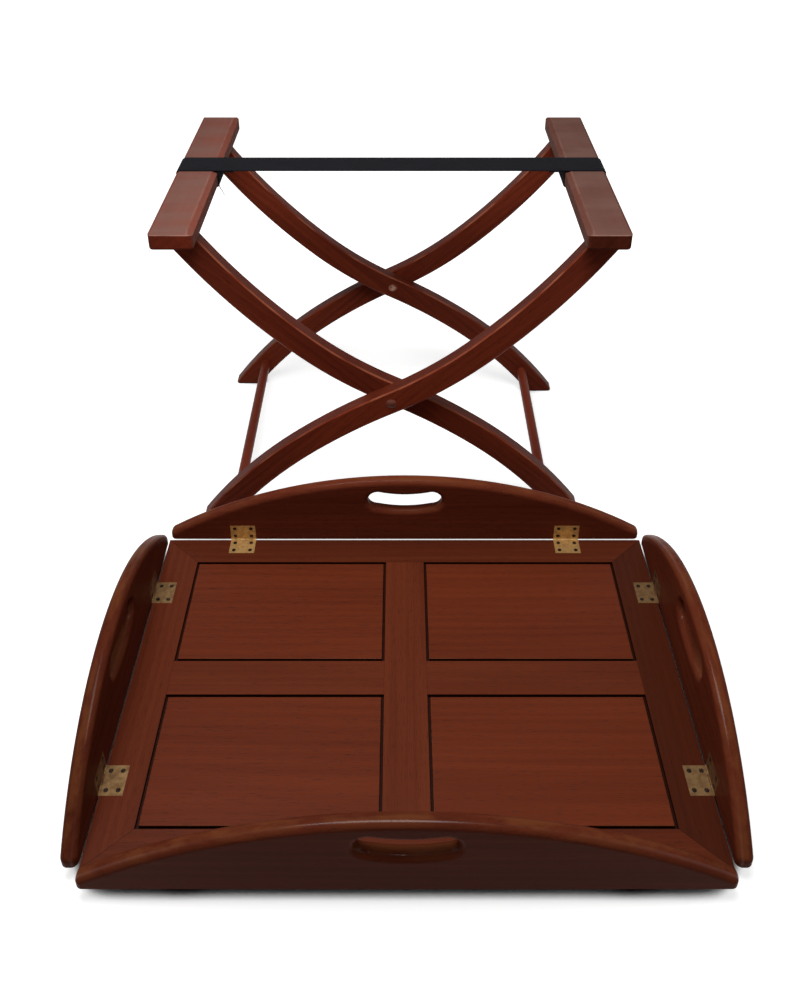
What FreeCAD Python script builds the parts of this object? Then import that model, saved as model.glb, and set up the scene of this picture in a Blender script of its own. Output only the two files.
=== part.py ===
import FreeCAD, Part
import math
import os

# Butler's tray table: a folding stand of two crossed S-legged frames, and a tray with four hinged flaps.
# Millimetres, +Z up, +Y towards the back. The tray lies on the floor in front of the open stand.

# Tray deck
deck_width = 735.0
deck_depth = 506.0
deck_thickness = 22.0
side_rail_width = 51.5
end_rail_width = 46.5
centre_muntin_width = 57.0
cross_muntin_width = 52.5
panel_groove = 4.0
panel_edge_round = 0.8
panel_thickness = 14.0
tongue_thickness = 4.0
tongue_depth = 5.0
deck_edge_round = 0.8

# Flaps, measured from the hinge pin's axis, which lies at the deck's top surface
flap_height = 118.0
flap_thickness = 20.0
flap_end_inset = 2.0
flap_end_height = 13.0
flap_end_round = 10.0
flap_nose_round = 8.0
slot_length = 112.0
slot_height = 31.0
slot_centre_height = 78.0
slot_dip = 5.0
slot_edge_round = 8.0

# Hinges
hinge_gap = 1.8
hinge_width = 39.0
leaf_depth = 28.0
leaf_thickness = 2.0
barrel_radius = 1.4
pin_radius = 0.7
pin_clearance = 0.05
knuckle_gap = 0.4
knuckle_clearance = 0.15
middle_knuckle_length = 14.0
long_hinge_spacing = 504.0
side_hinge_spacing = 293.0
screw_head_radius = 3.0
screw_shank_radius = 1.5
screw_length = 11.0
screw_slot_width = 0.8
screw_slot_depth = 0.7
screw_end_inset = 7.0
screw_side_inset = 6.5

# Stand
stand_height = 536.0
stand_shift = -20.9
stand_gap = 73.5
frame_depth = 394.5
pivot_height = 231.5
leg_thickness = 23.0
leg_width = 38.9
leg_gap = 1.6
leg_edge_bevel = 2.0
foot_round = 3.0
lean_at_pivot = 26.3
near_run = 150.0
upper_near_radius = 614.0
upper_far_radius = 1017.0
lower_near_radius = 926.0
lower_far_radius = 704.0
rail_width = 61.0
rail_thickness = 25.0
rail_length = 450.0
rail_inset = 6.4
rail_bevel = 8.5
rail_bevel_drop = 4.0
end_bevel_drop = 2.5
outer_bevel = 3.5
outer_bevel_drop = 1.8
rail_corner_round = 6.0
rail_lower_round = 4.0
rail_edge_round = 1.0
tenon_length = 26.0
tenon_height = 11.0
tenon_shoulder = 5.0
stretcher_radius = 8.4
stretcher_height = 47.0
stretcher_socket = 12.0

# Pivot hardware
bolt_radius = 4.0
bolt_head_radius = 7.5
bolt_head_length = 5.0
bolt_clearance = 0.05
cap_radius = 8.0
cap_depth = 6.0
cap_dome = 2.2
nut_radius = 7.5
nut_length = 5.0
nut_recess = 1.0
nut_clearance = 0.3
washer_radius = 12.0
washer_clearance = 0.2

# Strap
strap_width = 51.5
strap_thickness = 2.2
strap_shift = 10.5

# Overrun of every cutting shape past the face that it cuts
overrun = 5.0

# Places worked out from the sizes above
pin_offset = hinge_gap / 2
flap_outer = pin_offset + flap_thickness
rail_underside = stand_height - rail_thickness
stand_offset = deck_depth / 2 + stand_gap + frame_depth / 2
total_depth = deck_depth / 2 + flap_outer + stand_offset + rail_length / 2
tray_y = deck_depth / 2 + flap_outer - total_depth / 2
stand_y = tray_y + stand_offset
frame_front = stand_y - frame_depth / 2
frame_back = stand_y + frame_depth / 2
inner_front = frame_front + leg_thickness + leg_gap
inner_back = frame_back - leg_thickness - leg_gap
upper_radii = (upper_near_radius, upper_far_radius)
lower_radii = (lower_near_radius, lower_far_radius)
X_AXIS = FreeCAD.Vector(1, 0, 0)
Y_AXIS = FreeCAD.Vector(0, 1, 0)
Z_AXIS = FreeCAD.Vector(0, 0, 1)
ORIGIN = FreeCAD.Vector(0, 0, 0)


def point(x, y, z):
    return FreeCAD.Vector(x, y, z)


def block(x0, x1, y0, y1, z0, z1):
    return Part.makeBox(x1 - x0, y1 - y0, z1 - z0, point(x0, y0, z0))


def prism(points, direction):
    return Part.Face(Part.makePolygon(points + points[:1])).extrude(direction)


def export(name, solids):
    shape = solids[0] if len(solids) == 1 else Part.makeCompound(solids)
    shape.exportStep("parts/" + name + ".step")
    for solid in solids:
        if not solid.isValid():
            print("invalid", name)
    print(name, len(solids), round(sum(solid.Volume for solid in solids)))


def cut_all(shape, tools):
    if tools:
        shape = shape.cut(tools)
    return shape.Solids[0]


# Tray sides: each flap is made facing +Y from the middle of its deck edge, then turned to its side
def tray_side(turn, half):
    spin = FreeCAD.Rotation(Z_AXIS, turn)
    reach = spin.multVec(point(0, half, 0))
    return FreeCAD.Placement(point(reach.x, tray_y + reach.y, deck_thickness), spin)


sides = {
    "rear": (tray_side(0, deck_depth / 2), deck_width, long_hinge_spacing),
    "left": (tray_side(90, deck_width / 2), deck_depth, side_hinge_spacing),
    "front": (tray_side(180, deck_depth / 2), deck_width, long_hinge_spacing),
    "right": (tray_side(270, deck_width / 2), deck_depth, side_hinge_spacing),
}


def placed(shape, placement):
    copy = shape.copy()
    copy.Placement = placement.multiply(copy.Placement)
    return copy


# Hinge: two leaves let in flush, knuckles on one pin, four screws to a leaf
def leaf_bar(start, end):
    # barrel of one knuckle along X between two places, round the pin's axis
    return Part.makeCylinder(barrel_radius, end - start, point(start, pin_offset, 0), X_AXIS)


def pin_bore():
    start = point(-hinge_width / 2 - overrun, pin_offset, 0)
    return Part.makeCylinder(pin_radius + pin_clearance, hinge_width + 2 * overrun, start, X_AXIS)


def knuckle_room(start, end):
    # the round space in which the other leaf's knuckles turn
    return Part.makeCylinder(barrel_radius + knuckle_clearance, end - start, point(start, pin_offset, 0), X_AXIS)


def hinge_room():
    return knuckle_room(-hinge_width / 2 - knuckle_gap, hinge_width / 2 + knuckle_gap)


def hinge_pin():
    return Part.makeCylinder(pin_radius, hinge_width, point(-hinge_width / 2, pin_offset, 0), X_AXIS)


def deck_plate():
    return block(-hinge_width / 2, hinge_width / 2, -leaf_depth, 0, -leaf_thickness, 0)


def flap_plate():
    return block(-hinge_width / 2, hinge_width / 2, pin_offset, pin_offset + leaf_thickness,
                 pin_offset, pin_offset + leaf_depth)


def screw():
    # countersunk screw pointing down from its head's face at the origin
    head_depth = screw_head_radius - screw_shank_radius
    head = Part.makeCone(screw_shank_radius, screw_head_radius, head_depth, point(0, 0, -head_depth))
    shank = Part.makeCylinder(screw_shank_radius, screw_length, point(0, 0, -screw_length))
    return head.fuse(shank).removeSplitter().Solids[0]


def slotted(shape):
    slot = block(-screw_head_radius, screw_head_radius, -screw_slot_width / 2, screw_slot_width / 2,
                 -screw_slot_depth, screw_slot_depth)
    return shape.cut(slot).Solids[0]


def screw_places():
    along = hinge_width / 2 - screw_end_inset
    near = screw_side_inset
    far = leaf_depth - screw_side_inset
    return [(side * along, depth) for side in (-1, 1) for depth in (near, far)]


def deck_screw_placements():
    return [FreeCAD.Placement(point(along, -depth, 0), FreeCAD.Rotation()) for along, depth in screw_places()]


def flap_screw_placements():
    face_on = FreeCAD.Rotation(X_AXIS, 90)
    return [FreeCAD.Placement(point(along, pin_offset, pin_offset + depth), face_on)
            for along, depth in screw_places()]


def deck_leaf():
    half_middle = middle_knuckle_length / 2
    shape = deck_plate().cut(knuckle_room(-half_middle, half_middle))
    for start, end in ((-hinge_width / 2, -half_middle), (half_middle, hinge_width / 2)):
        shape = shape.fuse(block(start, end, 0, pin_offset, -leaf_thickness, 0)).fuse(leaf_bar(start, end))
    holes = [placed(screw(), place) for place in deck_screw_placements()]
    return cut_all(shape, [pin_bore()] + holes)


def flap_leaf():
    half_middle = middle_knuckle_length / 2 - knuckle_gap
    shape = flap_plate().cut([knuckle_room(-hinge_width, -half_middle), knuckle_room(half_middle, hinge_width)])
    tongue = block(-half_middle, half_middle, pin_offset, pin_offset + leaf_thickness, 0, pin_offset)
    shape = shape.fuse(tongue).fuse(leaf_bar(-half_middle, half_middle))
    holes = [placed(screw(), place) for place in flap_screw_placements()]
    return cut_all(shape, [pin_bore()] + holes)


def hinge_placements(spacing):
    return [FreeCAD.Placement(point(side * spacing / 2, 0, 0), FreeCAD.Rotation()) for side in (-1, 1)]


# Flap: a segment with a bull-nosed arc, a kidney-shaped hand slot and pockets for its hinge leaves
def flap_slot():
    half = slot_length / 2
    end_radius = slot_height / 2
    straight = half - end_radius
    middle = slot_centre_height
    front = pin_offset - overrun
    top_arc = Part.Arc(point(-straight, front, middle + end_radius),
                       point(0, front, middle + end_radius - slot_dip),
                       point(straight, front, middle + end_radius))
    right_arc = Part.Arc(point(straight, front, middle + end_radius),
                         point(half, front, middle),
                         point(straight, front, middle - end_radius))
    bottom_arc = Part.Arc(point(straight, front, middle - end_radius),
                          point(0, front, middle - end_radius - slot_dip),
                          point(-straight, front, middle - end_radius))
    left_arc = Part.Arc(point(-straight, front, middle - end_radius),
                        point(-half, front, middle),
                        point(-straight, front, middle + end_radius))
    wire = Part.Wire([arc.toShape() for arc in (top_arc, right_arc, bottom_arc, left_arc)])
    return Part.Face(wire).extrude(point(0, flap_thickness + 2 * overrun, 0))


def in_face(edge, level):
    return all(abs(vertex.Y - level) < overrun / 100 for vertex in edge.Vertexes)


def flap_blank(length):
    half = length / 2 - flap_end_inset
    low = pin_offset
    bottom_left = point(-half, low, low)
    top_left = point(-half, low, flap_end_height)
    top_right = point(half, low, flap_end_height)
    bottom_right = point(half, low, low)
    arc = Part.Arc(top_left, point(0, low, flap_height), top_right).toShape()
    edges = [Part.makeLine(bottom_left, top_left), arc, Part.makeLine(top_right, bottom_right),
             Part.makeLine(bottom_right, bottom_left)]
    shape = Part.Face(Part.Wire(edges)).extrude(point(0, flap_thickness, 0))
    corners = [edge for edge in shape.Edges
               if abs(edge.Length - flap_thickness) < overrun / 100
               and abs(edge.CenterOfMass.z - flap_end_height) < overrun / 100]
    shape = shape.makeFillet(flap_end_round, corners)
    nose = [edge for edge in shape.Edges
            if (in_face(edge, low) or in_face(edge, flap_outer))
            and edge.CenterOfMass.z > low + overrun / 100]
    return shape.makeFillet(flap_nose_round, nose)


def flap(length, spacing):
    shape = flap_blank(length).cut(flap_slot())
    rims = [edge for edge in shape.Edges
            if (in_face(edge, pin_offset) or in_face(edge, flap_outer))
            and abs(edge.CenterOfMass.x) < slot_length / 2
            and abs(edge.CenterOfMass.z - slot_centre_height) < slot_height
            and edge.Length < 2 * slot_length]
    shape = shape.makeFillet(slot_edge_round, rims)
    pockets = []
    for hinge in hinge_placements(spacing):
        pockets.append(placed(flap_plate(), hinge))
        pockets.append(placed(hinge_room(), hinge))
        pockets += [placed(screw(), hinge.multiply(place)) for place in flap_screw_placements()]
    return cut_all(shape, pockets)


for side, (place, length, spacing) in sides.items():
    hinges = [place.multiply(hinge) for hinge in hinge_placements(spacing)]
    export(side + "_flap", [placed(flap(length, spacing), place)])
    for hinge, hand in zip(hinges, ("a", "b")):
        export(side + "_deck_leaf_" + hand, [placed(deck_leaf(), hinge)])
        export(side + "_flap_leaf_" + hand, [placed(flap_leaf(), hinge)])
    export(side + "_hinge_pins", [placed(hinge_pin(), hinge) for hinge in hinges])
    export(side + "_flap_screws", [placed(slotted(screw()), hinge.multiply(spot))
                                   for hinge in hinges for spot in flap_screw_placements()])

# Deck: a mitred frame, one long muntin, two cross muntins and four flush panels in grooves
half_width = deck_width / 2
half_depth = deck_depth / 2
inner_half_width = half_width - side_rail_width
inner_half_depth = half_depth - end_rail_width
half_centre = centre_muntin_width / 2
half_cross = cross_muntin_width / 2
panel_bottom = deck_thickness - panel_thickness
tongue_bottom = panel_bottom + (panel_thickness - tongue_thickness) / 2
tongue_top = tongue_bottom + tongue_thickness


def panel_bounds(column, row):
    # the opening of one panel between its frame members: column -1 left, 1 right, row -1 front, 1 rear
    x0, x1 = sorted((column * half_centre, column * inner_half_width))
    y0, y1 = sorted((row * half_cross, row * inner_half_depth))
    return x0, x1, tray_y + y0, tray_y + y1


def panel_tongue(column, row):
    x0, x1, y0, y1 = panel_bounds(column, row)
    return block(x0 - tongue_depth, x1 + tongue_depth, y0 - tongue_depth, y1 + tongue_depth,
                 tongue_bottom, tongue_top)


def panel(column, row):
    x0, x1, y0, y1 = panel_bounds(column, row)
    field = block(x0 + panel_groove, x1 - panel_groove, y0 + panel_groove, y1 - panel_groove,
                  panel_bottom, deck_thickness)
    top_edges = [edge for edge in field.Edges
                 if all(abs(vertex.Z - deck_thickness) < overrun / 100 for vertex in edge.Vertexes)]
    return field.makeFillet(panel_edge_round, top_edges).fuse(panel_tongue(column, row)).Solids[0]


quarters = {"rear_left": (-1, 1), "rear_right": (1, 1), "front_left": (-1, -1), "front_right": (1, -1)}
tongues = [panel_tongue(column, row) for column, row in quarters.values()]
for quarter, (column, row) in quarters.items():
    export(quarter + "_panel", [panel(column, row)])


def mitred_rail(side, length, width, far_length):
    # a frame member along one side, its ends cut from the outer corner to the inner corner
    place, _, spacing = sides[side]
    outline = [point(-length / 2, 0, -deck_thickness),
               point(length / 2, 0, -deck_thickness),
               point(far_length / 2, -width, -deck_thickness),
               point(-far_length / 2, -width, -deck_thickness)]
    shape = prism(outline, point(0, 0, deck_thickness))
    top_edge = [edge for edge in shape.Edges
                if abs(edge.CenterOfMass.y) < overrun / 100 and abs(edge.CenterOfMass.z) < overrun / 100]
    shape = shape.makeFillet(deck_edge_round, top_edge)
    pockets = []
    for hinge in hinge_placements(spacing):
        pockets.append(placed(deck_plate(), hinge))
        pockets.append(placed(hinge_room(), hinge))
        pockets += [placed(screw(), hinge.multiply(spot)) for spot in deck_screw_placements()]
    shape = placed(cut_all(shape, pockets), place)
    return cut_all(shape, tongues)


for side in ("front", "rear"):
    export("tray_" + side + "_rail", [mitred_rail(side, deck_width, end_rail_width, 2 * inner_half_width)])
for side in ("left", "right"):
    export("tray_" + side + "_rail", [mitred_rail(side, deck_depth, side_rail_width, 2 * inner_half_depth)])

centre_muntin = block(-half_centre, half_centre, tray_y - inner_half_depth, tray_y + inner_half_depth,
                      0, deck_thickness)
export("centre_muntin", [cut_all(centre_muntin, tongues)])
for name, column in (("left", -1), ("right", 1)):
    x0, x1, _, _ = panel_bounds(column, 1)
    muntin = block(x0, x1, tray_y - half_cross, tray_y + half_cross, 0, deck_thickness)
    export(name + "_cross_muntin", [cut_all(muntin, tongues)])

deck_screws = []
for place, _, spacing in sides.values():
    for hinge in hinge_placements(spacing):
        for spot in deck_screw_placements():
            deck_screws.append(placed(slotted(screw()), place.multiply(hinge).multiply(spot)))
export("deck_leaf_screws", deck_screws)


# Legs: one S-curve of four tangent arcs that steepens away from the pivot, upwards and downwards
def leg_arcs(direction):
    # the two arcs of one half: start point from the pivot, lean at the start, radius
    near_radius, far_radius = upper_radii if direction > 0 else lower_radii
    lean = math.radians(lean_at_pivot)
    far_lean = lean + near_run / near_radius
    far_x = direction * near_radius * (math.sin(far_lean) - math.sin(lean))
    far_z = direction * near_radius * (math.cos(lean) - math.cos(far_lean))
    return (0.0, 0.0, lean, near_radius), (far_x, far_z, far_lean, far_radius)


def lean_at_height(direction, height):
    # lean of a half's far arc at a height above the floor
    _, (_, z, lean, radius) = leg_arcs(direction)
    rise = direction * (height - pivot_height - z)
    return math.acos(math.cos(lean) - rise / radius)


def arc_point(arc, direction, lean, y, offset):
    # a point of an arc of the centreline, moved square to it by the offset
    x, z, start_lean, radius = arc
    along = x + direction * radius * (math.sin(lean) - math.sin(start_lean))
    up = z + direction * radius * (math.cos(start_lean) - math.cos(lean))
    return point(along - offset * math.sin(lean), y, pivot_height + up + offset * math.cos(lean))


def centre_at(direction, height):
    # x of the leg's centreline at a height above the floor
    far = leg_arcs(direction)[1]
    return arc_point(far, direction, lean_at_height(direction, height), 0, 0).x


def leg_edge(y, offset):
    # one long edge of the leg, from past its foot to past its top
    edges = []
    for direction, end_height in ((-1, -leg_width), (1, rail_underside + leg_width)):
        near, far = leg_arcs(direction)
        half = []
        for arc, end_lean in ((near, far[2]), (far, lean_at_height(direction, end_height))):
            middle_lean = (arc[2] + end_lean) / 2
            leans = (arc[2], middle_lean, end_lean)
            half.append([arc_point(arc, direction, lean, y, offset) for lean in leans])
        if direction < 0:
            half = [points[::-1] for points in half[::-1]]
        edges += half
    return [Part.Arc(*points).toShape() for points in edges], edges[0][0], edges[-1][-1]


def leg_blank(y):
    # the leg that rises to +X, between the floor and the underside of its rail
    over, over_start, over_end = leg_edge(y, leg_width / 2)
    under, under_start, under_end = leg_edge(y, -leg_width / 2)
    wire = Part.Wire(over + [Part.makeLine(over_end, under_end)] + under[::-1]
                     + [Part.makeLine(under_start, over_start)])
    shape = Part.Face(wire).extrude(point(0, leg_thickness, 0))
    reach = shape.BoundBox.XMax - shape.BoundBox.XMin
    front = y - overrun
    back = y + leg_thickness + overrun
    floor_cut = block(-reach, reach, front, back, -2 * leg_width, 0)
    top_cut = block(-reach, reach, front, back, rail_underside, stand_height + 2 * leg_width)
    shape = shape.cut(floor_cut).Solids[0]
    toe = min((edge for edge in shape.Edges if abs(edge.Length - leg_thickness) < overrun / 100),
              key=lambda edge: edge.CenterOfMass.x + edge.CenterOfMass.z)
    shape = shape.makeFillet(foot_round, [toe])
    long_edges = [edge for edge in shape.Edges if edge.Length > near_run / 2]
    shape = shape.makeChamfer(leg_edge_bevel, long_edges).cut(top_cut).Solids[0]
    top = centre_at(1, rail_underside)
    tenon = block(top - tenon_length / 2, top + tenon_length / 2, y + tenon_shoulder,
                  y + leg_thickness - tenon_shoulder, rail_underside - overrun, rail_underside + tenon_height)
    return shape.fuse(tenon).removeSplitter().Solids[0]


def mirrored(shape):
    return shape.mirror(ORIGIN, X_AXIS)


def in_stand(shape):
    copy = shape.copy()
    copy.translate(point(stand_shift, 0, 0))
    return copy.Solids[0]


def dowel(x, y0, y1):
    return Part.makeCylinder(stretcher_radius, y1 - y0, point(x, y0, stretcher_height), Y_AXIS)


# Pivot hardware, made along +Y from an outer leg's outer face at the pivot, and turned for the rear pivot
pair_depth = 2 * leg_thickness + leg_gap
shaft_end = pair_depth - nut_recess


def rod(radius, start, end):
    return Part.makeCylinder(radius, end - start, point(0, start, 0), Y_AXIS)


def pivot_bolt():
    head_end = cap_depth + bolt_head_length
    return rod(bolt_head_radius, cap_depth, head_end).fuse(rod(bolt_radius, head_end, shaft_end)).Solids[0]


def pivot_cap():
    # a plug with a domed face, from the sphere that its radius and rise give
    sphere_radius = (cap_radius * cap_radius + cap_dome * cap_dome) / (2 * cap_dome)
    dome = Part.makeSphere(sphere_radius, point(0, sphere_radius - cap_dome, 0))
    face_disc = rod(cap_radius, -cap_dome, 0)
    return rod(cap_radius, 0, cap_depth).fuse(dome.common(face_disc)).removeSplitter().Solids[0]


def pivot_washer():
    washer = rod(washer_radius, leg_thickness, leg_thickness + leg_gap - washer_clearance)
    return washer.cut(rod(bolt_radius, 0, pair_depth)).Solids[0]


def pivot_nut():
    nut = rod(nut_radius, shaft_end - nut_length, shaft_end)
    return nut.cut(rod(bolt_radius, 0, pair_depth)).Solids[0]


def outer_leg_bore():
    return [rod(bolt_radius, 0, pair_depth), rod(bolt_head_radius, 0, cap_depth + bolt_head_length),
            rod(cap_radius, -overrun, cap_depth)]


def inner_leg_bore():
    seat = shaft_end - nut_length - nut_clearance
    return [rod(bolt_radius + bolt_clearance, 0, pair_depth + overrun),
            rod(nut_radius + nut_clearance, seat, pair_depth + overrun)]


pivots = {
    "front": FreeCAD.Placement(point(0, frame_front, pivot_height), FreeCAD.Rotation()),
    "rear": FreeCAD.Placement(point(0, frame_back, pivot_height), FreeCAD.Rotation(Z_AXIS, 180)),
}

# Frames: the outer one has the right rail and its feet on the left, the inner one is its mirror image
foot_x = centre_at(-1, stretcher_height)
outer_dowel = dowel(foot_x, frame_front + leg_thickness - stretcher_socket,
                    frame_back - leg_thickness + stretcher_socket)
inner_dowel = mirrored(dowel(foot_x, inner_front + leg_thickness - stretcher_socket,
                             inner_back - leg_thickness + stretcher_socket))
outer_blanks = {"front": leg_blank(frame_front), "rear": leg_blank(frame_back - leg_thickness)}
inner_blanks = {"front": leg_blank(inner_front), "rear": leg_blank(inner_back - leg_thickness)}
for end, pivot in pivots.items():
    outer_cuts = [placed(tool, pivot) for tool in outer_leg_bore()] + [outer_dowel]
    inner_cuts = [placed(tool, pivot) for tool in inner_leg_bore()] + [inner_dowel]
    export("outer_" + end + "_leg", [in_stand(cut_all(outer_blanks[end], outer_cuts))])
    export("inner_" + end + "_leg", [in_stand(cut_all(mirrored(inner_blanks[end]), inner_cuts))])
    export(end + "_pivot_bolt", [in_stand(placed(pivot_bolt(), pivot))])
    export(end + "_pivot_cap", [in_stand(placed(pivot_cap(), pivot))])
export("pivot_washers", [in_stand(placed(pivot_washer(), pivot)) for pivot in pivots.values()])
export("pivot_nuts", [in_stand(placed(pivot_nut(), pivot)) for pivot in pivots.values()])
export("left_stretcher", [in_stand(outer_dowel)])
export("right_stretcher", [in_stand(inner_dowel)])

# Rails: bevelled along the top, with a mortise for each leg's tenon
rail_x = centre_at(1, rail_underside) - rail_inset
rail_inner = rail_x - rail_width / 2
rail_outer = rail_x + rail_width / 2


def bevel_cut(edge, inward, run, drop, across):
    # a wedge over one top edge of the rail: a point below the edge, the way inwards, the bevel's two sizes
    low = edge + Z_AXIS * (-drop)
    slope = inward * run + Z_AXIS * drop
    corners = [low - slope, low + slope * 2, low - slope + Z_AXIS * (drop * 3)]
    return prism(corners, across)


def rail_bevels():
    front = stand_y - rail_length / 2
    back = stand_y + rail_length / 2
    along = Y_AXIS * rail_length
    across = X_AXIS * rail_width
    return [bevel_cut(point(rail_inner, front, stand_height), X_AXIS, rail_bevel, rail_bevel_drop, along),
            bevel_cut(point(rail_outer, front, stand_height), X_AXIS * -1, outer_bevel, outer_bevel_drop, along),
            bevel_cut(point(rail_inner, front, stand_height), Y_AXIS, rail_bevel, end_bevel_drop, across),
            bevel_cut(point(rail_inner, back, stand_height), Y_AXIS * -1, rail_bevel, end_bevel_drop, across)]


def rail(legs):
    shape = block(rail_inner, rail_outer, stand_y - rail_length / 2, stand_y + rail_length / 2,
                  rail_underside, stand_height)
    corners = [edge for edge in shape.Edges if abs(edge.Length - rail_thickness) < overrun / 100]
    shape = shape.makeFillet(rail_corner_round, corners)
    lower_edges = [edge for edge in shape.Edges
                   if all(abs(vertex.Z - rail_underside) < overrun / 100 for vertex in edge.Vertexes)]
    shape = shape.makeFillet(rail_lower_round, lower_edges).cut(rail_bevels()).Solids[0]
    top_edges = [edge for edge in shape.Edges
                 if all(abs(vertex.Z - stand_height) < overrun / 100 for vertex in edge.Vertexes)]
    shape = shape.makeFillet(rail_edge_round, top_edges)
    return cut_all(shape, legs)


export("right_rail", [in_stand(rail(list(outer_blanks.values())))])
export("left_rail", [in_stand(mirrored(rail(list(inner_blanks.values()))))])

# Strap: a band wrapped closely round each rail, and the span between them
strap_front = stand_y + strap_shift - strap_width / 2


def strap_outline(spread):
    # the band's inner line round the rail, or its outer line at the strap's thickness from it
    return [point(rail_inner - spread, strap_front, stand_height + spread),
            point(rail_outer + spread, strap_front, stand_height + spread),
            point(rail_outer + spread, strap_front, rail_underside - spread),
            point(rail_inner - spread, strap_front, rail_underside - spread)]


band = prism(strap_outline(strap_thickness), point(0, strap_width, 0))
band = band.cut(prism(strap_outline(0), point(0, strap_width, 0))).Solids[0]
export("right_strap_loop", [in_stand(band)])
export("left_strap_loop", [in_stand(mirrored(band))])
span_end = rail_inner - strap_thickness
span = block(-span_end, span_end, strap_front, strap_front + strap_width, stand_height,
             stand_height + strap_thickness)
export("strap_span", [in_stand(span)])
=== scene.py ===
import bpy
import math
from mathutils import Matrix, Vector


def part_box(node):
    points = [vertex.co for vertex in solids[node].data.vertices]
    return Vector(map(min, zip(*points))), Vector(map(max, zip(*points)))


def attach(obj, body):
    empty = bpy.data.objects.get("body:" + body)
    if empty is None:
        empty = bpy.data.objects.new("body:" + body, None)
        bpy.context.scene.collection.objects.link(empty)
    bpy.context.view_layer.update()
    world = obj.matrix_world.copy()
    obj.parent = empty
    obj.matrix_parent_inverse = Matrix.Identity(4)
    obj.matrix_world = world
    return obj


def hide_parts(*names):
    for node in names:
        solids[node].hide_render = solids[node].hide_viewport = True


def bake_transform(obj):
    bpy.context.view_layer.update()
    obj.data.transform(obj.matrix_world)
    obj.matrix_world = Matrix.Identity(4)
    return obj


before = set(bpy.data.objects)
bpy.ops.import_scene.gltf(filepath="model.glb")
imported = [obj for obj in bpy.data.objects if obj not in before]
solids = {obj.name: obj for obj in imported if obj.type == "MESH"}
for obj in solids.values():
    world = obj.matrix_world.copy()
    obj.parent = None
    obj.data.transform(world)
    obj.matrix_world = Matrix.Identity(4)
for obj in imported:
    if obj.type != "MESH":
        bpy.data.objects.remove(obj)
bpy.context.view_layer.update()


# Legs of the stand
# Four S-curved legs sawn from mahogany boards, stained and rubbed to a satin, with bevelled long edges.
# The grain runs straight along each board, and the bevels are rubbed back to a lighter brown by handling.
def put(tree, kind, inputs=(), **settings):
    # one node of a tree; an input is a plain value or the output of another node
    made = tree.nodes.new(kind)
    for name, value in settings.items():
        setattr(made, name, value)
    for socket, value in dict(inputs).items():
        if isinstance(value, bpy.types.NodeSocket):
            tree.links.new(value, made.inputs[socket])
        else:
            made.inputs[socket].default_value = value
    return made


def reckon(tree, operation, *values):
    # one sum of numbers
    return put(tree, "ShaderNodeMath", dict(enumerate(values)), operation=operation).outputs[0]


def fade(tree, value, start, end, low=0.0, high=1.0):
    # low before start, high after end, and smooth between them
    inputs = {"Value": value, "From Min": start, "From Max": end, "To Min": low, "To Max": high}
    return put(tree, "ShaderNodeMapRange", inputs, interpolation_type="SMOOTHSTEP").outputs["Result"]


def speckle(tree, place, stretch, detail, roughness=0.55):
    # noise whose grains are 1/stretch metres long in each direction
    scaled = put(tree, "ShaderNodeVectorMath", {0: place, 1: stretch}, operation="MULTIPLY").outputs["Vector"]
    inputs = {"Vector": scaled, "Scale": 1.0, "Detail": detail, "Roughness": roughness}
    return put(tree, "ShaderNodeTexNoise", inputs).outputs["Fac"]


def blended(tree, share, first, second):
    # two colours mixed by a share
    inputs = {"Factor": share, "A": first, "B": second}
    mix = put(tree, "ShaderNodeMix", data_type="RGBA")
    for name, value in inputs.items():
        socket = next(s for s in mix.inputs if s.name == name and (name == "Factor" or s.type == "RGBA"))
        if isinstance(value, bpy.types.NodeSocket):
            tree.links.new(value, socket)
        else:
            socket.default_value = value
    return next(s for s in mix.outputs if s.type == "RGBA")


def effect(name, inputs, outputs):
    # an empty shader node group with named sockets
    kinds = {"vector": "NodeSocketVector", "colour": "NodeSocketColor", "number": "NodeSocketFloat"}
    group = bpy.data.node_groups.new(name, "ShaderNodeTree")
    for socket, kind in inputs:
        group.interface.new_socket(name=socket, in_out="INPUT", socket_type=kinds[kind])
    for socket, kind in outputs:
        group.interface.new_socket(name=socket, in_out="OUTPUT", socket_type=kinds[kind])
    return group, put(group, "NodeGroupInput").outputs


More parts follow.
